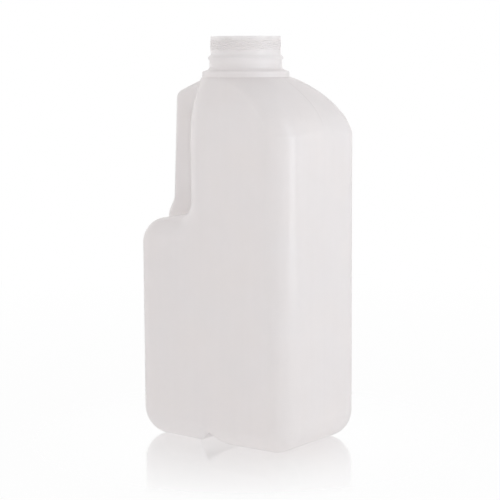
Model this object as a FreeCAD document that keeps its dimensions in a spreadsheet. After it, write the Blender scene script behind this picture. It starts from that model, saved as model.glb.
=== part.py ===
import FreeCAD, Part
import math
import os
import Sketcher

# Blow-moulded milk bottle with a moulded-in handle, open at the neck.
# The bottle stands on +Z with its origin in the middle of the foot. X runs across the broad
# faces, with the handle at -X and the large shoulder at +X. Y is the depth, and the mould
# parts on the plane Y = 0. All sizes are in millimetres.
#
# Every form is made twice by the same functions: once as the outside, and once as the hollow,
# whose walls all lie one wall thickness further in. The bottle is the outside less the hollow.

SIZES = {
    # trunk
    "body_width": 100.4,
    "body_depth": 68.4,
    "crown": 1.2,
    "wall": 0.8,
    "edge_round": 12.0,
    "base_ease": 3.0,
    # foot
    "channel_height": 7.2,
    "channel_slope": 34.0,
    "channel_round": 9.0,
    # shoulder, and the ledge under the recess for the fingers
    "shoulder_height": 191.2,
    "shoulder_drop": 29.5,
    "ridge": 2.2,
    "grip_height": 70.0,
    "ledge_fall": 6.4,
    "ledge_ease": 1.2,
    "ledge_fillet": 7.0,
    # handle
    "handle_inset": 4.7,
    "handle_lean": 2.6,
    "handle_bar": 15.5,
    "handle_depth": 14.6,
    "handle_round": 3.4,
    "handle_knuckle": 2.0,
    "handle_fall": 8.0,
    "handle_root": 24.0,
    "root_fillet": 2.4,
    "foot_inset": 0.4,
    "handle_hip": 3.2,
    "handle_waist": 4.8,
    "handle_flare": 8.5,
    "finger_gap": 14.0,
    "gap_sill": 2.4,
    "gap_headroom": 15.2,
    "gap_round": 7.0,
    # neck
    "collar_radius": 22.9,
    "collar_flat": 0.5,
    "collar_height": 2.9,
    "collar_slope": 1.3,
    "collar_round": 1.1,
    "throat_radius": 19.0,
    "throat_length": 4.6,
    "throat_fillet": 1.6,
    "bead_radius": 19.7,
    "bead_land": 0.8,
    "finish_radius": 18.3,
    "finish_height": 12.3,
    "finish_wall": 1.3,
}

# Places that follow from the sizes. The handle's bar stands a little inside the trunk's side,
# and the recess begins one finger gap further in. Heights are stacked from the shoulder's top.
REACH = "(Sizes.body_width / 2 - Sizes.handle_inset)"
RECESS = f"({REACH} - Sizes.handle_bar - Sizes.finger_gap)"
LEDGE = "(Sizes.shoulder_height - Sizes.grip_height)"
COLLAR_TOP = "(Sizes.shoulder_height + Sizes.collar_height)"
THROAT = f"({COLLAR_TOP} + Sizes.collar_slope)"
BEAD = f"({THROAT} + Sizes.throat_length)"
RIM = f"({BEAD} + Sizes.finish_height)"
HALF_WIDTH = "Sizes.body_width / 2"
HALF_DEPTH = "Sizes.body_depth / 2"

# Fractions of the shoulder's drop at which its sections stand, from the trunk to the collar.
# The first lies below the drop, where the shoulder still runs straight on from the trunk.
SHOULDER_STEPS = (1.02, 1.0, 0.92, 0.78, 0.6, 0.42, 0.26, 0.12, 0.0)
# The sections widen as the sine of these fractions raised to a power: lower powers are fuller.
SIDE_FULLNESS = 0.9
FACE_FULLNESS = 0.7
# Powers of the height within the shoulder: high powers keep a change close under the collar.
RECESS_FADE = 6
CORNER_FADE = 4
# Rounds of the search for the point where a slanting side touches its round corner.
TOUCH_ROUNDS = 30
# How closely an edge must lie to the place it is picked by.
NEAR = 0.01

doc = FreeCAD.newDocument("MilkBottle")


def make_sheet():
    """Writes the driving sizes, one row each, with the size's name as its alias."""
    sheet = doc.addObject("Spreadsheet::Sheet", "Sizes")
    for row, (name, value) in enumerate(SIZES.items(), start=1):
        sheet.set(f"A{row}", name)
        sheet.set(f"B{row}", str(value))
        sheet.setAlias(f"B{row}", name)
    doc.recompute()
    return sheet


sheet = make_sheet()


def value(expression):
    """The present value of an expression on the sheet, to place a shape before it is bound."""
    return float(sheet.evalExpression(expression))


def new_body(name):
    body = doc.addObject("PartDesign::Body", name)
    body.Label = name
    return body


def new_sketch(body, name, role, height=None):
    """An empty sketch on one of the body's own origin planes, lifted to height if given."""
    sketch = body.newObject("Sketcher::SketchObject", name)
    plane = next(item for item in body.Origin.OriginFeatures if item.Role == role)
    sketch.AttachmentSupport = [(plane, "")]
    sketch.MapMode = "FlatFace"
    if height is not None:
        sketch.setExpression("AttachmentOffset.Base.z", height)
    return sketch


def bind(sketch, kind, *where, to):
    """Adds a dimension and binds it to an expression on the sheet."""
    index = sketch.addConstraint(Sketcher.Constraint(kind, *where, value(to)))
    sketch.setExpression(f"Constraints[{index}]", to)


def draw_polygon(sketch, corners):
    """Closed straight outline, each corner bound to its pair of expressions."""
    points = [FreeCAD.Vector(value(across), value(up), 0) for across, up in corners]
    for start, end in zip(points, points[1:] + points[:1]):
        sketch.addGeometry(Part.LineSegment(start, end))
    count = len(points)
    for index, (across, up) in enumerate(corners):
        sketch.addConstraint(Sketcher.Constraint("Coincident", (index - 1) % count, 2, index, 1))
        bind(sketch, "DistanceX", index, 1, to=across)
        bind(sketch, "DistanceY", index, 1, to=up)


def add_feature(body, kind, name, **settings):
    feature = body.newObject(kind, name)
    for setting, given in settings.items():
        setattr(feature, setting, given)
    return feature


def round_edges(body, name, wanted, radius):
    """Rounds those edges of the body's tip for which wanted(edge) holds."""
    doc.recompute()
    tip = body.Tip
    names = [f"Edge{number}" for number, edge in enumerate(tip.Shape.Edges, start=1) if wanted(edge)]
    fillet = add_feature(body, "PartDesign::Fillet", name, Base=(tip, names))
    fillet.Radius = value(radius)
    fillet.setExpression("Radius", radius)
    doc.recompute()
    return fillet


def edge_through(x, z):
    """Picks the straight edge that runs along Y through the point x, z of the front outline."""
    def wanted(edge):
        ends = [vertex.Point for vertex in edge.Vertexes]
        return all(abs(end.x - value(x)) < NEAR and abs(end.z - value(z)) < NEAR for end in ends)
    return wanted


def make_trunk(body, inset):
    """The straight-sided lower part: a front outline with its ledge, crowned broad faces, and
    one rounding that runs all round the outline between the broad faces and the sides."""
    side = f"({HALF_WIDTH} - {inset})"
    recess = f"(-{RECESS} + {inset})"
    foot = f"({inset})"
    top = section_height(SHOULDER_STEPS[0])
    ledge = f"({LEDGE} - {inset})"
    ledge_end = f"({LEDGE} - Sizes.ledge_fall - {inset})"

    outline = new_sketch(body, f"{body.Name}Outline", "XZ_Plane")
    draw_polygon(outline, [(f"-{side}", foot), (side, foot), (side, top), (recess, top),
                           (recess, ledge), (f"-{side}", ledge_end)])
    pad = add_feature(body, "PartDesign::Pad", f"{body.Name}Trunk", Profile=outline, Midplane=True)
    pad.setExpression("Length", "Sizes.body_depth + Sizes.wall")

    base_round = f"Sizes.edge_round + Sizes.base_ease - {inset}"
    round_edges(body, f"{body.Name}BaseLeft", edge_through(f"-{side}", foot), base_round)
    round_edges(body, f"{body.Name}BaseRight", edge_through(side, foot), base_round)
    ledge_round = f"Sizes.edge_round + Sizes.ledge_ease - {inset}"
    round_edges(body, f"{body.Name}LedgeRound", edge_through(f"-{side}", ledge_end), ledge_round)
    ledge_fillet = f"Sizes.ledge_fillet + {inset}"
    round_edges(body, f"{body.Name}LedgeFillet", edge_through(recess, ledge), ledge_fillet)

    for face in (-1, 1):
        trim_crown(body, face, inset)
    shallow = value(f"{HALF_DEPTH} - 2 * Sizes.crown - {inset}")

    def outlines_a_broad_face(edge):
        box = edge.BoundBox
        return box.ZMin < value(top) - NEAR and min(abs(box.YMin), abs(box.YMax)) > shallow

    round_edges(body, f"{body.Name}Edges", outlines_a_broad_face, f"Sizes.edge_round - {inset}")


def section_height(step):
    """Height of the shoulder's section at one of its steps."""
    return f"(Sizes.shoulder_height - Sizes.shoulder_drop * {step})"


def crown_radius(inset):
    """Radius of the slight outward crown of the broad faces, seen from above."""
    return f"(pow({HALF_WIDTH}; 2) / (2 * Sizes.crown) + Sizes.crown / 2 - {inset})"


def trim_crown(body, face, inset):
    """Cuts one broad face of the trunk to its crown: an arc across the whole width."""
    sketch = new_sketch(body, f"{body.Name}Crown{'Front' if face < 0 else 'Back'}", "XY_Plane")
    radius = value(crown_radius(inset))
    centre = value(f"{HALF_DEPTH} - {inset}") - radius
    reach = value(f"{HALF_WIDTH} + Sizes.edge_round")
    far = value("Sizes.body_depth")
    edge = centre + math.sqrt(radius ** 2 - reach ** 2)
    swing = math.asin(reach / radius)
    middle = math.pi / 2 * face
    sketch_arc(sketch, (0, face * centre), radius, middle - swing, middle + swing)
    near = [FreeCAD.Vector(across * reach, face * edge, 0) for across in (-face, face)]
    away = [FreeCAD.Vector(across * reach, face * far, 0) for across in (-face, face)]
    # the arc runs anticlockwise, from the -face side at the front and the +face side at the back
    first, last = sketch.Geometry[0].StartPoint, sketch.Geometry[0].EndPoint
    forward = first.distanceToPoint(near[0]) < NEAR
    end = away if forward else away[::-1]
    sketch.addGeometry(Part.LineSegment(last, end[1]))
    sketch.addGeometry(Part.LineSegment(end[1], end[0]))
    sketch.addGeometry(Part.LineSegment(end[0], first))
    sketch.addConstraint(Sketcher.Constraint("Coincident", 0, 2, 1, 1))
    sketch.addConstraint(Sketcher.Constraint("Coincident", 1, 2, 2, 1))
    sketch.addConstraint(Sketcher.Constraint("Coincident", 2, 2, 3, 1))
    sketch.addConstraint(Sketcher.Constraint("Coincident", 3, 2, 0, 1))
    sketch.addConstraint(Sketcher.Constraint("PointOnObject", 0, 3, -2))
    bind(sketch, "Radius", 0, to=crown_radius(inset))
    sign = "-" if face < 0 else ""
    bind(sketch, "DistanceY", 0, 3, to=f"{sign}({HALF_DEPTH} - {inset} - {crown_radius(inset)})")
    for index, corner in ((1, end[1]), (2, end[0])):
        across = "" if corner.x > 0 else "-"
        bind(sketch, "DistanceX", index, 2, to=f"{across}({HALF_WIDTH} + Sizes.edge_round)")
        bind(sketch, "DistanceY", index, 2, to=f"{sign}Sizes.body_depth")
    for index in (1, 3):
        sketch.addConstraint(Sketcher.Constraint("Vertical", index))
    cut = add_feature(body, "PartDesign::Pocket", f"{sketch.Name}Cut", Profile=sketch)
    cut.Type = "ThroughAll"
    cut.Midplane = True


def sketch_arc(sketch, centre, radius, start, end):
    """Adds an arc of a circle about centre, anticlockwise from one angle to another."""
    circle = Part.Circle(FreeCAD.Vector(centre[0], centre[1], 0), FreeCAD.Vector(0, 0, 1), radius)
    return sketch.addGeometry(Part.ArcOfCircle(circle, start, end))


def draw_section(sketch, left, right, half_depth, corner, ridge, crown):
    """One cross-section of the shoulder, drawn anticlockwise from the ridge at +X: a side in
    two halves that meet on the parting plane, a crowned broad face, the straight side at -X and
    the other crowned face, with a round corner between each two."""
    radius, hump = value(corner), value(crown)
    side, back = value(right) - value(ridge) - radius, value(left) + radius
    centre = value(half_depth) - hump

    def corner_at(across):
        """Centre of a corner that touches the crowned face from inside, and its angle there."""
        lift = centre + math.sqrt((hump - radius) ** 2 - across ** 2)
        return lift, math.atan2(lift - centre, across)

    side_lift, side_turn = corner_at(side)
    back_lift, back_turn = corner_at(back)
    lean = math.atan2(value(ridge), side_lift)
    # the slanting half-side touches the corner where its normal leans by the same angle
    for _ in range(TOUCH_ROUNDS):
        touch = (side + radius * math.cos(lean), side_lift + radius * math.sin(lean))
        lean = math.atan2(value(right) - touch[0], touch[1])
    front = [
        ("line", (value(right), 0), touch),
        ("arc", (side, side_lift), radius, lean, side_turn),
        ("arc", (0, centre), hump, side_turn, back_turn),
        ("arc", (back, back_lift), radius, back_turn, math.pi),
        ("line", (value(left), back_lift), (value(left), 0)),
    ]
    for shape in front:
        if shape[0] == "line":
            sketch.addGeometry(Part.LineSegment(*(FreeCAD.Vector(*end, 0) for end in shape[1:])))
        else:
            sketch_arc(sketch, *shape[1:])
    for shape in reversed(front):
        if shape[0] == "line":
            ends = [FreeCAD.Vector(end[0], -end[1], 0) for end in shape[:0:-1]]
            sketch.addGeometry(Part.LineSegment(*ends))
        else:
            (across, lift), size, start, end = shape[1:]
            sketch_arc(sketch, (across, -lift), size, -end, -start)
    rule = sketch.addConstraint
    for joint in (0, 1, 2, 3, 5, 6, 7, 8):
        rule(Sketcher.Constraint("Tangent", joint, 2, joint + 1, 1))
    rule(Sketcher.Constraint("Coincident", 4, 2, 5, 1))
    rule(Sketcher.Constraint("Coincident", 9, 2, 0, 1))
    for index in (4, 5):
        rule(Sketcher.Constraint("Vertical", index))
    rule(Sketcher.Constraint("PointOnObject", 4, 2, -1))
    rule(Sketcher.Constraint("PointOnObject", 0, 1, -1))
    bind(sketch, "DistanceX", 0, 1, to=right)
    bind(sketch, "DistanceX", 4, 2, to=left)
    for index in (1, 8):
        bind(sketch, "Radius", index, to=corner)
        bind(sketch, "DistanceX", index, 3, to=f"{right} - {ridge} - {corner}")
    for index in (3, 6):
        bind(sketch, "Radius", index, to=corner)
    for index, sign in ((2, ""), (7, "-")):
        bind(sketch, "Radius", index, to=crown)
        rule(Sketcher.Constraint("PointOnObject", index, 3, -2))
        bind(sketch, "DistanceY", index, 3, to=f"{sign}({half_depth} - {crown})")


def blend(low, high, share):
    """A size between two others, at a given share of the way from the first to the second."""
    return f"({low} + ({high} - {low}) * {share:.4f})"


def make_shoulder(body, inset):
    """The shoulder: sections from the trunk's own outline up to a near circle at the collar."""
    collar = "Sizes.collar_radius"
    sections = []
    for number, step in enumerate(SHOULDER_STEPS):
        step_down = min(step, 1.0)
        swell = math.sin(math.pi / 2 * step_down ** SIDE_FULLNESS)
        fade, tighten = (1 - step_down) ** RECESS_FADE, (1 - step_down) ** CORNER_FADE
        right = f"({blend(collar, HALF_WIDTH, swell)} - {inset})"
        left = f"({inset} - {blend(RECESS, collar, fade)})"
        half_depth = f"({blend(collar, HALF_DEPTH, swell ** FACE_FULLNESS)} - {inset})"
        near_round = f"({collar} - Sizes.collar_flat)"
        corner = f"({blend('Sizes.edge_round', near_round, tighten)} - {inset})"
        ridge = f"(Sizes.ridge * {math.sin(math.pi * step_down):.4f})"
        name = f"{body.Name}Section{number}"
        sketch = new_sketch(body, name, "XY_Plane", section_height(step))
        draw_section(sketch, left, right, half_depth, corner, ridge, crown_radius(inset))
        sections.append(sketch)
    doc.recompute()
    name = f"{body.Name}Shoulder"
    loft = add_feature(body, "PartDesign::AdditiveLoft", name, Profile=sections[0])
    loft.Sections = sections[1:]
    loft.Ruled = False
    doc.recompute()


def make_handle(body, inset):
    """The handle: a C-shaped web on the parting plane, whose open side lies in the trunk and the
    shoulder. Its corners are rounded first and then its rims, until it is nearly a round bar."""
    side = f"(-{HALF_WIDTH} + Sizes.foot_inset + {inset})"
    reach = f"(-{REACH} + {inset})"
    top = f"(-{REACH} + Sizes.handle_lean + {inset})"
    bar = f"(-{REACH} + Sizes.handle_bar - {inset})"
    collar = f"(-Sizes.collar_radius + {inset})"
    buried = f"(-{RECESS} / 2)"
    root = f"({LEDGE} - Sizes.handle_root)"
    hip = f"({LEDGE} - Sizes.handle_hip - {inset})"
    waist = f"({LEDGE} + Sizes.handle_waist)"
    crown = f"(Sizes.shoulder_height - Sizes.handle_fall - {inset})"
    neck = f"(Sizes.shoulder_height - {inset})"
    gap_top = f"(Sizes.shoulder_height - Sizes.gap_headroom + {inset})"
    gap_bottom = f"({LEDGE} + Sizes.gap_sill - {inset})"

    outline = new_sketch(body, f"{body.Name}Outline", "XZ_Plane")
    draw_polygon(outline, [(buried, root), (side, root), (side, hip), (reach, waist), (top, crown),
                           (collar, neck), (buried, neck), (buried, gap_top), (bar, gap_top),
                           (bar, gap_bottom), (buried, gap_bottom)])
    pad = add_feature(body, "PartDesign::Pad", f"{body.Name}Web", Profile=outline, Midplane=True)
    pad.setExpression("Length", f"Sizes.handle_depth - 2 * {inset}")
    corners = [("Hip", side, hip, f"Sizes.handle_flare - {inset}"),
               ("Waist", reach, waist, f"Sizes.handle_flare + {inset}"),
               ("Knuckle", top, crown, f"Sizes.handle_knuckle + Sizes.handle_round - {inset}"),
               ("GapTop", bar, gap_top, f"Sizes.gap_round + {inset}"),
               ("GapBottom", bar, gap_bottom, f"Sizes.gap_round + {inset}")]
    for name, across, up, radius in corners:
        round_edges(body, f"{body.Name}{name}", edge_through(across, up), radius)
    half = value(f"Sizes.handle_depth / 2 - {inset}")

    def on_a_rim(edge):
        box = edge.BoundBox
        if box.YLength > NEAR or abs(abs(box.YMin) - half) > NEAR:
            return False
        at_an_end = box.ZMax < value(root) + NEAR or box.ZMin > value(neck) - NEAR
        return not at_an_end and box.XMin < value(buried) - NEAR

    round_edges(body, f"{body.Name}Rims", on_a_rim, f"Sizes.handle_round - {inset}")


def merge_handle(body, handle, inset):
    """Joins the handle to the body and softens the seams where its foot stands on the ledge."""
    union = add_feature(body, "PartDesign::Boolean", f"{body.Name}WithHandle", Type="Fuse")
    union.setObjects([handle])
    half = value(f"Sizes.handle_depth / 2 - {inset}")
    high = value(f"{LEDGE} - {inset}")
    low = value(f"{LEDGE} - Sizes.ledge_fall - {inset}")
    outer = value(f"-{REACH} + {inset}")

    def is_ledge_seam(edge):
        box = edge.BoundBox
        upright_face = abs(abs(box.YMin) - half) < NEAR and box.YLength < NEAR
        on_the_slope = low - NEAR < box.ZMin and box.ZMax < high + NEAR
        return upright_face and on_the_slope and box.XMin > outer and box.XLength > box.ZLength > NEAR

    round_edges(body, f"{body.Name}Root", is_ledge_seam, f"Sizes.root_fillet + {inset}")


def make_turning(body, profile, roundings=()):
    """A turned form: the profile, radius and height at each corner, spun about the bottle's axis."""
    sketch = new_sketch(body, f"{body.Name}Profile", "XZ_Plane")
    draw_polygon(sketch, profile)
    turning = add_feature(body, "PartDesign::Revolution", f"{body.Name}Turning", Profile=sketch)
    turning.ReferenceAxis = (sketch, ["V_Axis"])
    turning.Angle = 360
    for number, (radius, height, rounding) in enumerate(roundings):
        def is_ring(edge, radius=radius, height=height):
            if not isinstance(edge.Curve, Part.Circle):
                return False
            level = abs(edge.Curve.Center.z - value(height)) < NEAR
            return level and abs(edge.Curve.Radius - value(radius)) < NEAR
        round_edges(body, f"{body.Name}Round{number}", is_ring, rounding)


def make_neck(body):
    """The neck: a round collar on the shoulder, a throat, a bead and the finish for the cap."""
    seat = "Sizes.shoulder_height - Sizes.wall"
    collar, throat = "Sizes.collar_radius", "Sizes.throat_radius"
    bead, finish = "Sizes.bead_radius", "Sizes.finish_radius"
    bead_low = f"{BEAD} + {bead} - {throat}"
    bead_high = f"{bead_low} + Sizes.bead_land"
    finish_foot = f"{bead_high} + {bead} - {finish}"
    profile = [("0", seat), (collar, seat), (collar, COLLAR_TOP), (throat, THROAT),
               (throat, BEAD), (bead, bead_low), (bead, bead_high), (finish, finish_foot),
               (finish, RIM), ("0", RIM)]
    roundings = [(collar, COLLAR_TOP, "Sizes.collar_round"), (throat, THROAT, "Sizes.throat_fillet")]
    make_turning(body, profile, roundings)


def make_bore(body):
    """The hollow of the neck, which opens the rim and widens under the collar."""
    bore = "(Sizes.finish_radius - Sizes.finish_wall)"
    wide = "(Sizes.collar_radius - Sizes.wall)"
    under = "(Sizes.shoulder_height - 2 * Sizes.wall)"
    step = f"({COLLAR_TOP} - 2 * Sizes.wall)"
    above = f"({RIM} + Sizes.wall)"
    make_turning(body, [("0", under), (wide, under), (wide, step), (bore, THROAT),
                        (bore, above), ("0", above)])


def make_channel(body, inset):
    """The channel across the foot, which parts it in two: straight flanks that meet in a crest,
    and lips that roll over into the foot. Its hollow twin lies one wall thickness above it."""
    slope = "Sizes.channel_slope"
    straight = f"(Sizes.channel_height - Sizes.channel_round * (1 - cos({slope}))) / tan({slope})"
    half = f"(Sizes.channel_round * sin({slope}) + {straight})"
    lip = f"(Sizes.channel_round - {inset})"
    crest = f"(Sizes.channel_height + {inset} / cos({slope}))"
    below = "Sizes.channel_height"

    reach, drop, centre = value(half), value(below), value("Sizes.channel_round")
    radius, turn = value(lip), math.radians(value(slope))
    foot = centre - radius
    flank = (reach - radius * math.sin(turn), centre - radius * math.cos(turn))
    sketch = new_sketch(body, f"{body.Name}Channel", "XZ_Plane")
    down = -math.pi / 2
    sketch_arc(sketch, (-reach, centre), radius, down, down + turn)
    for start, end in (((-flank[0], flank[1]), (0, value(crest))), ((0, value(crest)), flank)):
        sketch.addGeometry(Part.LineSegment(FreeCAD.Vector(*start, 0), FreeCAD.Vector(*end, 0)))
    sketch_arc(sketch, (reach, centre), radius, down - turn, down)
    closing = [(reach, foot), (reach, -drop), (-reach, -drop), (-reach, foot)]
    for start, end in zip(closing, closing[1:]):
        sketch.addGeometry(Part.LineSegment(FreeCAD.Vector(*start, 0), FreeCAD.Vector(*end, 0)))
    rule = sketch.addConstraint
    rule(Sketcher.Constraint("Tangent", 0, 2, 1, 1))
    rule(Sketcher.Constraint("Coincident", 1, 2, 2, 1))
    rule(Sketcher.Constraint("Tangent", 2, 2, 3, 1))
    rule(Sketcher.Constraint("Coincident", 3, 2, 4, 1))
    rule(Sketcher.Constraint("Coincident", 4, 2, 5, 1))
    rule(Sketcher.Constraint("Coincident", 5, 2, 6, 1))
    rule(Sketcher.Constraint("Coincident", 6, 2, 0, 1))
    rule(Sketcher.Constraint("Vertical", 4))
    rule(Sketcher.Constraint("Vertical", 6))
    rule(Sketcher.Constraint("Horizontal", 5))
    rule(Sketcher.Constraint("PointOnObject", 1, 2, -2))
    for index, sign in ((0, "-"), (3, "")):
        bind(sketch, "DistanceX", index, 3, to=f"{sign}{half}")
        bind(sketch, "DistanceY", index, 3, to="Sizes.channel_round")
        bind(sketch, "Radius", index, to=lip)
    bind(sketch, "DistanceX", 4, 1, to=half)
    bind(sketch, "DistanceX", 6, 1, to=f"-{half}")
    bind(sketch, "DistanceY", 1, 2, to=crest)
    bind(sketch, "DistanceY", 4, 2, to=f"-{below}")
    cut = add_feature(body, "PartDesign::Pocket", f"{body.Name}ChannelCut", Profile=sketch)
    cut.Type = "ThroughAll"
    cut.Midplane = True


def make_form(name, inset):
    """The bottle's body with its handle as one closed form, inset from the outside by a wall."""
    body = new_body(name)
    make_trunk(body, inset)
    make_shoulder(body, inset)
    make_channel(body, inset)
    handle = new_body(f"{name}Handle")
    make_handle(handle, inset)
    merge_handle(body, handle, inset)
    return body


def join(name, parts):
    fusion = doc.addObject("Part::MultiFuse", name)
    fusion.Shapes = parts
    fusion.Label = name
    return fusion


def make_bottle():
    """The bottle: everything outside, fused, less everything hollow."""
    neck = new_body("Neck")
    make_neck(neck)
    bore = new_body("Bore")
    make_bore(bore)
    outside = join("WholeOutside", [make_form("Outside", "0 * Sizes.wall"), neck])
    hollow = join("WholeHollow", [make_form("Hollow", "Sizes.wall"), bore])
    bottle = doc.addObject("Part::Cut", "Bottle")
    bottle.Base = outside
    bottle.Tool = hollow
    bottle.Label = "bottle"
    bottle.Placement = FreeCAD.Placement()
    return bottle


def check(objects):
    """Stops the build if any object of the document has failed."""
    for item in doc.Objects:
        if "Invalid" in item.State or "Error" in item.State:
            raise RuntimeError(f"{item.Name} has failed: {item.State}")
    for item in objects:
        shape = item.Shape
        if shape.isNull() or not shape.isValid() or len(shape.Solids) != 1:
            raise RuntimeError(f"{item.Label} is not one valid solid")


parts = [make_bottle()]
doc.recompute()
check(parts)
os.makedirs("parts", exist_ok=True)
for part in parts:
    part.Shape.exportStep(f"parts/{part.Label}.step")
    print(part.Label, len(part.Shape.Faces), "faces", round(part.Shape.Volume), "mm3", part.Shape.BoundBox)
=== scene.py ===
import math

import bmesh
import bpy
import numpy as np
from mathutils import Matrix, Vector


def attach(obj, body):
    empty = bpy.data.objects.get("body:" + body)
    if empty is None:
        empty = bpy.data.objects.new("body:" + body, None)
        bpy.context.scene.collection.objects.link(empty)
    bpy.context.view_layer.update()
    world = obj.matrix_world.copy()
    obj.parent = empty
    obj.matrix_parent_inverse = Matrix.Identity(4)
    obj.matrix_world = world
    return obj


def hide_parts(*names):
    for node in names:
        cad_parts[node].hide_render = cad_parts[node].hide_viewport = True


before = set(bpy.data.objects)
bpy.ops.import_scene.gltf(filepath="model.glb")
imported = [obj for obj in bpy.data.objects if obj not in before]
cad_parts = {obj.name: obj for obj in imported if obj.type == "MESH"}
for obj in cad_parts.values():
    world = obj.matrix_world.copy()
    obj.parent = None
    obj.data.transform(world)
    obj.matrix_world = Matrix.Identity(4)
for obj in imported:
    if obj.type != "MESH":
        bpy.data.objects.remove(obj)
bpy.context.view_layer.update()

bl_info = {
    "name": "Milk Bottle",
    "version": (1, 0, 0),
    "blender": (4, 5, 0),
    "location": "3D View > Sidebar > Milk Bottle",
    "description": "Finishes a blow-moulded milk bottle with its plastic, its screw thread and a studio",
    "category": "Object",
}

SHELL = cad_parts["bottle"]

# lengths in metres
RIDGE = (0.163, 0.190)       # heights between which the shoulder has its sharp ridge
RIDGE_START = 0.020          # the ridge lies further out than this, on the +X side
ON_PLANE = 1e-5              # how near the parting plane the ridge's points lie
MERGED = 1e-6                # doubled corners lie nearer each other than this
CLOUD = 0.011                # width of the clouds in the plastic

# where the painted shade along the parting line's fine ridge fades: from nothing at the first to full at
# the second
SEAM_SHADE_SIDE = (0.020, 0.023)   # outwards, on the +X side
SEAM_SHADE_FOOT = (0.166, 0.176)   # up the shoulder, where it is faint below
SEAM_SHADE_TOP = (0.190, 0.188)    # down from the collar

# distances from the bottle's axis over which the floor's effects fade, likewise
MIRROR_REACH = (0.125, 0.045)
GLOW_REACH = (0.095, 0.045)
SHADOW_REACH = (0.6, 0.1)

# ways in which the room's light changes
ABOVE = (0, 0, 1)
LEFT = (-0.85, -0.53, 0)
BEHIND = (-0.61, 0.79, 0)

WHITE = (1, 1, 1, 1)
MATT_WHITE = (0.92, 0.92, 0.92, 1)


# ---------------------------------------------------------------- shader expressions

class Wire:
    """A socket in a material or world, on which arithmetic adds Math nodes."""

    def __init__(self, tree, socket):
        self.tree = tree
        self.socket = socket

    def maths(self, operation, *inputs, clamp=False):
        node = self.tree.nodes.new("ShaderNodeMath")
        node.operation = operation
        node.use_clamp = clamp
        for slot, given in zip(node.inputs, inputs):
            connect(self.tree, slot, given)
        return Wire(self.tree, node.outputs[0])

    def __add__(self, other):
        return self.maths("ADD", self, other)

    def __radd__(self, other):
        return self.maths("ADD", other, self)

    def __sub__(self, other):
        return self.maths("SUBTRACT", self, other)

    def __rsub__(self, other):
        return self.maths("SUBTRACT", other, self)

    def __mul__(self, other):
        return self.maths("MULTIPLY", self, other)

    def __rmul__(self, other):
        return self.maths("MULTIPLY", other, self)

    def __truediv__(self, other):
        return self.maths("DIVIDE", self, other)

    def __rtruediv__(self, other):
        return self.maths("DIVIDE", other, self)

    def __abs__(self):
        return self.maths("ABSOLUTE", self)

    def clamped(self):
        return self.maths("ADD", self, 0.0, clamp=True)

    def ramp(self, start, end):
        """Runs evenly from 0 at the start to 1 at the end, which may be the lower of the two."""
        return ((self - start) / (end - start)).clamped()


def connect(tree, slot, given):
    """Links a wire to a socket, or writes a plain value into it."""
    if isinstance(given, Wire):
        tree.links.new(given.socket, slot)
    else:
        slot.default_value = given


class Finish:
    """A new material or world and the one way in which its nodes are added."""

    def __init__(self, block):
        block.use_nodes = True
        self.block = block
        self.tree = block.node_tree
        self.tree.nodes.clear()

    def add(self, kind, settings=None, output=0, **sockets):
        """Adds a node and hands back one of its outputs, if it has any. Its settings are set first,
        and then its sockets, by name with _ for a space, or by number after a _."""
        node = self.tree.nodes.new(kind)
        for name, given in (settings or {}).items():
            setattr(node, name, given)
        for name, given in sockets.items():
            slot = int(name[1:]) if name.startswith("_") else name.replace("_", " ")
            connect(self.tree, node.inputs[slot], given)
        if node.outputs:
            return Wire(self.tree, node.outputs[output])

    def noise(self, place, width, detail=2.0, roughness=0.5):
        """Clouds of about the given width, which run from about -0.5 to 0.5."""
        return self.add("ShaderNodeTexNoise", {"noise_dimensions": "3D"}, Vector=place,
                        Scale=1 / width, Detail=detail, Roughness=roughness) - 0.5

    def blend(self, share, first, second):
        """The first colour where the share is 0, and the second where it is 1."""
        return self.add("ShaderNodeMix", {"data_type": "RGBA"}, output=2,
                        _0=share, _6=first, _7=second)

    def layer(self, share, first, second):
        """The first shader where the share is 0, and the second where it is 1."""
        return self.add("ShaderNodeMixShader", Fac=share, _1=first, _2=second)

    def surface(self, shader, output="ShaderNodeOutputMaterial"):
        """Ends the tree in its output and hands back the material or world."""
        self.add(output, Surface=shader)
        return self.block


# ---------------------------------------------------------------- settings

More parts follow.
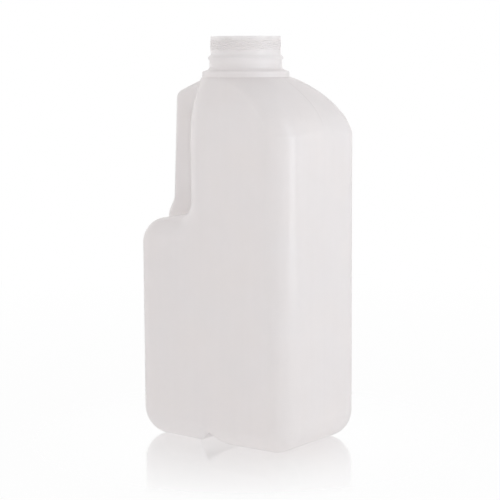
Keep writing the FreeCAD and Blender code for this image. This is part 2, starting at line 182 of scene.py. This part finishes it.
class BottleSettings(bpy.types.PropertyGroup):
    """Colours and patterns of the plastic"""
    plastic: bpy.props.FloatVectorProperty(
        name="Plastic", description="Colour of the natural polyethylene", subtype="COLOR",
        size=3, min=0, max=1, default=(0.93, 0.914, 0.913))
    glow: bpy.props.FloatVectorProperty(
        name="Glow", description="Colour of the light that comes through the wall",
        subtype="COLOR", size=3, min=0, max=1, default=(0.97, 0.953, 0.951))
    milkiness: bpy.props.FloatProperty(
        name="Milkiness", description="Share of the light that the wall turns back",
        min=0, max=1, default=0.42)
    roughness: bpy.props.FloatProperty(
        name="Roughness", description="Roughness of the satin skin", min=0, max=1, default=0.32)
    gloss: bpy.props.FloatProperty(
        name="Gloss roughness", description="Roughness of the sheen on top of the satin skin",
        min=0, max=1, default=0.13)
    cloud_size: bpy.props.FloatProperty(
        name="Cloud size", description="Width of the faint clouds in the plastic",
        unit="LENGTH", default=CLOUD)
    speckle_size: bpy.props.FloatProperty(
        name="Speckle size", description="Width of the finest clouds", unit="LENGTH",
        default=CLOUD / 6)
    hue_size: bpy.props.FloatProperty(
        name="Hue size", description="Width of the warmer and cooler clouds", unit="LENGTH",
        default=CLOUD / 0.4)
    streak_width: bpy.props.FloatProperty(
        name="Streak width", description="Width of the upright streaks", unit="LENGTH",
        default=CLOUD / 3)
    streak_length: bpy.props.FloatProperty(
        name="Streak length", description="Length of a streak for each unit of its width",
        min=1, default=25)
    cloud_depth: bpy.props.FloatProperty(
        name="Cloud depth", description="How far the clouds change the plastic's brightness",
        min=0, max=0.2, default=0.012)
    hue_depth: bpy.props.FloatProperty(
        name="Hue depth", description="How much warmer or cooler the broad clouds are",
        min=0, max=0.1, default=0.006)
    # painted shade: colour, half-width and darkness of the shade painted along the mould's parting line,
    # which is really a fine ridge
    seam: bpy.props.FloatVectorProperty(
        name="Seam", description="Colour of the mould's parting line", subtype="COLOR",
        size=3, min=0, max=1, default=(0.3, 0.28, 0.28))
    seam_shade_width: bpy.props.FloatProperty(
        name="Seam width", description="Half-width of the mould's parting line", unit="LENGTH",
        default=0.0006)
    seam_shade_depth: bpy.props.FloatProperty(
        name="Seam depth", description="How dark the parting line is on the shoulder",
        min=0, max=1, default=0.35)


class ThreadSettings(bpy.types.PropertyGroup):
    """Sizes of the screw thread"""
    starts: bpy.props.IntProperty(
        name="Starts", description="Number of separate ridges side by side", min=1, default=10)
    lead: bpy.props.FloatProperty(
        name="Lead", description="Rise of one ridge in a whole turn", unit="LENGTH",
        default=0.0115)
    root: bpy.props.FloatProperty(
        name="Root radius", description="Radius of the neck that the ridges stand on",
        unit="LENGTH", default=0.0183)
    height: bpy.props.FloatProperty(
        name="Height", description="How far a ridge stands out of the neck", unit="LENGTH",
        default=0.00018)
    width: bpy.props.FloatProperty(
        name="Width", description="Half of a ridge's width, measured up the neck", unit="LENGTH",
        default=0.0005)
    bottom: bpy.props.FloatProperty(
        name="Lowest ridge", description="Height at which the ridges begin", unit="LENGTH",
        default=0.2050)
    top: bpy.props.FloatProperty(
        name="Highest ridge", description="Height at which the ridges end", unit="LENGTH",
        default=0.2108)
    taper: bpy.props.FloatProperty(
        name="Taper", description="Share of a ridge's length over which each end runs out",
        min=0.01, max=0.5, default=0.12)


class StudioSettings(bpy.types.PropertyGroup):
    """Places and strengths of the camera, the lights and the floor"""
    bearing: bpy.props.FloatProperty(
        name="Bearing", description="Turn of the camera from the bottle's front to its right",
        subtype="ANGLE", default=math.radians(37.73))
    distance: bpy.props.FloatProperty(
        name="Distance", description="Camera's distance from the bottle's axis", unit="LENGTH",
        default=0.8028)
    height: bpy.props.FloatProperty(
        name="Height", description="Camera's height over the floor", unit="LENGTH",
        default=0.19996)
    pitch: bpy.props.FloatProperty(
        name="Pitch", description="How far the camera looks down", subtype="ANGLE",
        default=math.radians(7.107))
    roll: bpy.props.FloatProperty(
        name="Roll", description="Turn of the camera about its own line of sight",
        subtype="ANGLE", default=math.radians(-0.332))
    lens: bpy.props.FloatProperty(
        name="Lens", description="Focal length on a 36 mm wide sensor, in millimetres",
        default=109.64)
    aside: bpy.props.FloatProperty(
        name="Aside", description="Sideways shift of the lens", default=0.00638)
    ambient: bpy.props.FloatProperty(
        name="Ambient", description="Light that comes from all round, white being 1",
        default=1.12)
    overhead: bpy.props.FloatProperty(
        name="Overhead", description="Share of the ambient light that comes from straight above",
        min=0, max=1, default=0.05)
    fill: bpy.props.FloatProperty(
        name="Fill", description="How much the ambient light gains on the left and loses on the right",
        min=0, max=1, default=0.35)
    sidelight: bpy.props.FloatProperty(
        name="Side light", description="How much more the ambient light gains straight on the left",
        min=0, max=2, default=0.5)
    backlight: bpy.props.FloatProperty(
        name="Backlight", description="How much stronger the ambient light is from behind",
        min=0, max=2, default=1.1)
    key: bpy.props.FloatProperty(
        name="Key light", description="Brightness of the tall soft light on the right, white being 1",
        default=2.3)
    key_colour: bpy.props.FloatVectorProperty(
        name="Key colour", description="Colour of the tall soft light, a little cool",
        subtype="COLOR", size=3, min=0, max=1, default=(0.93, 0.97, 1.0))
    key_place: bpy.props.FloatVectorProperty(
        name="Key place", description="Middle of the tall soft light, which faces level along X",
        subtype="TRANSLATION", unit="LENGTH", size=3, default=(0.62, 0.04, 0.35))
    key_width: bpy.props.FloatProperty(
        name="Key width", description="Width of the tall soft light", unit="LENGTH", default=0.36)
    key_height: bpy.props.FloatProperty(
        name="Key height", description="Height of the tall soft light", unit="LENGTH",
        default=0.7)
    floor_width: bpy.props.FloatProperty(
        name="Floor width", description="Width of the floor", unit="LENGTH", default=6.0)
    underfoot: bpy.props.FloatProperty(
        name="Underfoot", description="Share of the floor's light that the bottle's shadow spares",
        min=0, max=1, default=0.45)
    underneath: bpy.props.FloatProperty(
        name="Underneath", description="The share that it spares right beside the bottle",
        min=0, max=1, default=0.58)
    shadow: bpy.props.FloatProperty(
        name="Shadow", description="How much of the bottle's shadow the camera sees on the floor",
        min=0, max=1, default=0.04)
    mirror: bpy.props.FloatProperty(
        name="Mirror", description="Share of the floor's light that is mirrored beside the bottle",
        min=0, max=1, default=0.72)
    polish: bpy.props.FloatProperty(
        name="Polish", description="Roughness of the floor's mirror", min=0, max=1, default=0.12)


# ---------------------------------------------------------------- plastic

def tint(colour, level, warmth):
    """A colour made brighter by a level and, for a positive warmth, redder and less blue."""
    red, green, blue = colour
    return red * level * (1 + warmth), green * level, blue * level * (1 - warmth), 1


def parting_line_shade(finish, place, width):
    """How strongly the painted shade along the mould's parting line shows, the real line being a fine
    ridge: it fades with the distance from the plane between the halves, lies on the +X side, is faint
    below the shoulder and ends at the collar."""
    across, through, rise = (finish.add("ShaderNodeSeparateXYZ", output=axis, Vector=place)
                             for axis in "XYZ")
    faint = 0.1
    on_shoulder = faint + (1 - faint) * rise.ramp(*SEAM_SHADE_FOOT)
    return abs(through).ramp(width, 0) * across.ramp(*SEAM_SHADE_SIDE) * on_shoulder * rise.ramp(*SEAM_SHADE_TOP)


def natural_plastic(settings):
    """Milky natural polyethylene: a satin skin over a wall that lets part of the light through.
    Faint clouds and upright streaks change its brightness by a percent or so, and broader clouds turn it
    a little warmer or cooler. Along the mould's parting line on the shoulder, a fine ridge, painted
    shade darkens the colour."""
    finish = Finish(bpy.data.materials.new("natural polyethylene"))
    place = finish.add("ShaderNodeTexCoord", output="Object")
    drawn_out = finish.add("ShaderNodeVectorMath", {"operation": "MULTIPLY"}, _0=place,
                           _1=(1, 1, 1 / settings.streak_length))
    clouds = finish.noise(place, settings.cloud_size, detail=3.0)
    speckle = finish.noise(place, settings.speckle_size)
    streaks = finish.noise(drawn_out, settings.streak_width, roughness=0.6)
    contrast, hue_contrast = 1.2, 2.5
    brightness = (contrast * (clouds + streaks + speckle / 3) + 0.5).clamped()
    warmth = (hue_contrast * finish.noise(place, settings.hue_size) + 0.5).clamped()
    dark, light = (finish.blend(warmth, tint(settings.plastic, level, -settings.hue_depth),
                                tint(settings.plastic, level, settings.hue_depth))
                   for level in (1 - 2 * settings.cloud_depth, 1 + 2 * settings.cloud_depth))
    # painted shade: the colour darkens along the parting line's fine ridge on the shoulder
    seam = parting_line_shade(finish, place, settings.seam_shade_width)
    colour = finish.blend(seam * settings.seam_shade_depth, finish.blend(brightness, dark, light),
                          (*settings.seam, 1))
    bump = finish.add("ShaderNodeBump", Strength=0.06, Distance=0.0006,
                      Height=clouds + 0.3 * speckle)
    skin = finish.add("ShaderNodeBsdfPrincipled", Base_Color=colour, Roughness=settings.roughness,
                      IOR=1.54, Specular_IOR_Level=0.25, Coat_Weight=1.0,
                      Coat_Roughness=settings.gloss, Normal=bump)
    glow = finish.add("ShaderNodeBsdfTranslucent", Color=(*settings.glow, 1))
    return finish.surface(finish.layer(settings.milkiness, glow, skin))


# ---------------------------------------------------------------- geometry

def new_piece(name, points, faces, material):
    """A smooth mesh object at the origin, riding on the bottle."""
    mesh = bpy.data.meshes.new(name)
    mesh.from_pydata(points.tolist(), [], faces.tolist())
    mesh.polygons.foreach_set("use_smooth", np.ones(len(mesh.polygons), bool))
    mesh.materials.append(material)
    mesh.update()
    piece = bpy.data.objects.new(name, mesh)
    bpy.context.scene.collection.objects.link(piece)
    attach(piece, "root")
    return piece


def sharpen_ridge(mesh):
    """Marks as sharp the edges along the shoulder's ridge, where the mould's two halves meet:
    both their ends lie on the parting plane, on the +X side and between the ridge's heights."""
    corners = np.empty(len(mesh.vertices) * 3)
    mesh.vertices.foreach_get("co", corners)
    across, through, rise = corners.reshape(-1, 3).T
    foot, top = RIDGE
    ridge = (abs(through) < ON_PLANE) & (across > RIDGE_START) & (foot < rise) & (rise < top)
    ends = np.empty(len(mesh.edges) * 2, int)
    mesh.edges.foreach_get("vertices", ends)
    mesh.edges.foreach_set("use_edge_sharp", ridge[ends.reshape(-1, 2)].all(axis=1))


def smooth_shell():
    """A copy of the CAD shell with its doubled corners merged and its curves shaded smooth. The
    normals lean to the larger faces, so that the flat sides stay flat up to their rounds."""
    mesh = SHELL.data.copy()
    mesh.name = "blown shell"
    piece = bpy.data.objects.new("blown_shell", mesh)
    bpy.context.scene.collection.objects.link(piece)
    work = bmesh.new()
    work.from_mesh(mesh)
    bmesh.ops.remove_doubles(work, verts=work.verts, dist=MERGED)
    work.to_mesh(mesh)
    work.free()
    sharpen_ridge(mesh)
    mesh.polygons.foreach_set("use_smooth", np.ones(len(mesh.polygons), bool))
    even = piece.modifiers.new("even shading", "WEIGHTED_NORMAL")
    even.mode = "FACE_AREA"
    even.keep_sharp = True
    return piece


def thread_ridges(settings):
    """The screw thread: every start is one long ridge.
    Along it, the turn grows evenly and the height grows by the lead for each whole turn. Around
    it, an ellipse stands half out of the neck. Both its half-axes fall to nothing at the two
    ends by the root of a sine, over the taper, so that each ridge is closed and runs out."""
    rows, columns = 121, 12
    along = np.linspace(0, 1, rows)
    around = np.linspace(0, 2 * math.pi, columns, endpoint=False)
    from_end = np.clip(np.minimum(along, 1 - along) / settings.taper, 0, 1)
    swell = np.sqrt(np.sin(math.pi / 2 * from_end))[None, :, None]
    rise = settings.top - settings.bottom
    start = np.linspace(0, 2 * math.pi, settings.starts, endpoint=False)
    angle = start[:, None, None] + 2 * math.pi * rise / settings.lead * along[None, :, None]
    radius = settings.root + swell * settings.height * np.cos(around)
    height = settings.bottom + rise * along[None, :, None] + swell * settings.width * np.sin(around)
    points = np.stack(np.broadcast_arrays(radius * np.cos(angle), radius * np.sin(angle), height),
                      axis=-1)
    ring = np.arange(columns)
    after = (ring + 1) % columns
    row = np.arange(rows - 1)[:, None] * columns
    quads = np.stack([row + columns + ring, row + columns + after, row + after, row + ring], axis=-1)
    offset = np.arange(settings.starts)[:, None, None] * rows * columns
    return points.reshape(-1, 3), (quads.reshape(1, -1, 4) + offset).reshape(-1, 4)


# ---------------------------------------------------------------- studio

def studio_camera(settings):
    """Places the camera on its bearing, looking down by its pitch and turned by its roll."""
    bearing, pitch = settings.bearing, settings.pitch
    place = Vector((settings.distance * math.sin(bearing), -settings.distance * math.cos(bearing),
                    settings.height))
    ahead = Vector((-math.sin(bearing) * math.cos(pitch), math.cos(bearing) * math.cos(pitch),
                    -math.sin(pitch)))
    right = Vector((math.cos(bearing), math.sin(bearing), 0))
    up = right.cross(ahead)
    turn = Matrix((right, up, -ahead)).transposed().to_4x4()
    data = bpy.data.cameras.new("camera")
    data.lens = settings.lens
    data.sensor_width = 36
    data.shift_x = settings.aside
    data.clip_start = 0.05
    camera = bpy.data.objects.new("camera", data)
    camera.matrix_world = Matrix.Translation(place) @ turn @ Matrix.Rotation(settings.roll, 4, "Z")
    bpy.context.scene.collection.objects.link(camera)
    bpy.context.scene.camera = camera


def key_light(settings):
    """A tall soft light on the right, whose face is as bright as its strength times white. It
    faces level along X and makes the bright stripe on the front corner."""
    data = bpy.data.lights.new("key", "AREA")
    data.shape = "RECTANGLE"
    data.size = settings.key_width
    data.size_y = settings.key_height
    data.energy = settings.key * math.pi * settings.key_width * settings.key_height
    data.color = settings.key_colour
    lamp = bpy.data.objects.new("key", data)
    facing = Vector((-1, 0, 0)).to_track_quat("-Z", "Y")
    lamp.matrix_world = Matrix.LocRotScale(settings.key_place, facing, None)
    bpy.context.scene.collection.objects.link(lamp)


def white_room(settings):
    """The world: light that falls off towards the ceiling and is a little stronger from the left
    and from behind, and plain white wherever it is looked at."""
    finish = Finish(bpy.data.worlds.new("white room"))
    seen = (finish.add("ShaderNodeLightPath", output="Is Camera Ray")
            + finish.add("ShaderNodeLightPath", output="Is Glossy Ray")
            + finish.add("ShaderNodeLightPath", output="Is Transmission Ray")).clamped()
    toward = finish.add("ShaderNodeTexCoord", output="Generated")
    above, left, behind = (
        finish.add("ShaderNodeVectorMath", {"operation": "DOT_PRODUCT"}, output="Value",
                   _0=toward, _1=way) for way in (ABOVE, LEFT, BEHIND))
    gain = (1 + left * settings.fill + left.clamped() * left.clamped() * settings.sidelight
            + behind.clamped() * settings.backlight)
    light = settings.ambient * (1 - above.clamped() * (1 - settings.overhead)) * gain
    background = finish.add("ShaderNodeBackground", Color=WHITE,
                            Strength=light + seen * (1 - light))
    bpy.context.scene.world = finish.surface(background, "ShaderNodeOutputWorld")


def white_floor(settings):
    """A white floor. The camera sees it plain white, with a little of the bottle's shadow and,
    beside the bottle, a soft mirror image. For the bottle it is a matt white floor of which a
    share glows, so that the bottle's own shadow doesn't darken its foot."""
    finish = Finish(bpy.data.materials.new("white floor"))
    place = finish.add("ShaderNodeTexCoord", output="Object")
    reach = finish.add("ShaderNodeVectorMath", {"operation": "LENGTH"}, output="Value", _0=place)
    seen = finish.add("ShaderNodeLightPath", output="Is Camera Ray")
    matt = finish.add("ShaderNodeBsdfDiffuse", Color=MATT_WHITE)
    glowing = finish.add("ShaderNodeEmission", Color=WHITE,
                         Strength=seen + (1 - seen) * settings.ambient)
    polished = finish.add("ShaderNodeBsdfGlossy", Color=WHITE, Roughness=settings.polish)
    unshaded = 1 - settings.shadow * reach.ramp(*SHADOW_REACH)
    mirrored = settings.mirror * reach.ramp(*MIRROR_REACH)
    spared = settings.underfoot + (settings.underneath - settings.underfoot) * reach.ramp(*GLOW_REACH)
    base = finish.layer(seen * unshaded + (1 - seen) * spared, matt, glowing)
    return finish.surface(finish.layer(seen * mirrored, base, polished))


def floor_sheet(settings):
    """A square floor at the bottle's foot."""
    half = settings.floor_width / 2
    mesh = bpy.data.meshes.new("floor")
    corners = [(-half, -half, 0), (half, -half, 0), (half, half, 0), (-half, half, 0)]
    mesh.from_pydata(corners, [], [(0, 1, 2, 3)])
    mesh.materials.append(white_floor(settings))
    floor = bpy.data.objects.new("floor", mesh)
    bpy.context.scene.collection.objects.link(floor)


# ---------------------------------------------------------------- operators

class MakeShell(bpy.types.Operator):
    """Gives the blown shell its smooth skin and its milky plastic"""
    bl_idname = "milk_bottle.make_shell"
    bl_label = "Make Shell"

    def execute(self, context):
        material = natural_plastic(context.scene.milk_bottle)
        piece = smooth_shell()
        piece.data.materials.clear()
        piece.data.materials.append(material)
        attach(piece, "root")
        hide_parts("bottle")
        return {"FINISHED"}


class CutThread(bpy.types.Operator):
    """Lays the fine ridges of the screw thread round the neck"""
    bl_idname = "milk_bottle.cut_thread"
    bl_label = "Cut Thread"

    def execute(self, context):
        points, faces = thread_ridges(context.scene.milk_thread)
        new_piece("neck_thread", points, faces, bpy.data.materials["natural polyethylene"])
        return {"FINISHED"}


class SetStudio(bpy.types.Operator):
    """Sets up the white floor, the white room, the key light and the camera"""
    bl_idname = "milk_bottle.set_studio"
    bl_label = "Set Studio"

    def execute(self, context):
        settings = context.scene.milk_studio
        floor_sheet(settings)
        white_room(settings)
        key_light(settings)
        studio_camera(settings)
        context.scene.view_settings.view_transform = "Standard"
        return {"FINISHED"}


class MilkBottlePanel(bpy.types.Panel):
    """Lists the settings of the plastic, the thread and the studio with their buttons"""
    bl_idname = "VIEW3D_PT_milk_bottle"
    bl_label = "Milk Bottle"
    bl_space_type = "VIEW_3D"
    bl_region_type = "UI"
    bl_category = "Milk Bottle"

    def draw(self, context):
        layout = self.layout
        for group, operator in ((context.scene.milk_bottle, MakeShell),
                                (context.scene.milk_thread, CutThread),
                                (context.scene.milk_studio, SetStudio)):
            box = layout.box()
            for name in group.bl_rna.properties.keys():
                if name not in ("rna_type", "name"):
                    box.prop(group, name)
            box.operator(operator.bl_idname)


CLASSES = (BottleSettings, ThreadSettings, StudioSettings, MakeShell, CutThread, SetStudio,
           MilkBottlePanel)


def register():
    for item in CLASSES:
        bpy.utils.register_class(item)
    bpy.types.Scene.milk_bottle = bpy.props.PointerProperty(type=BottleSettings)
    bpy.types.Scene.milk_thread = bpy.props.PointerProperty(type=ThreadSettings)
    bpy.types.Scene.milk_studio = bpy.props.PointerProperty(type=StudioSettings)


def unregister():
    del bpy.types.Scene.milk_studio
    del bpy.types.Scene.milk_thread
    del bpy.types.Scene.milk_bottle
    for item in reversed(CLASSES):
        bpy.utils.unregister_class(item)


def main():
    """Makes the shell, the thread and the studio."""
    register()
    bpy.ops.milk_bottle.make_shell()
    bpy.ops.milk_bottle.cut_thread()
    bpy.ops.milk_bottle.set_studio()


if __name__ == "__main__":
    main()
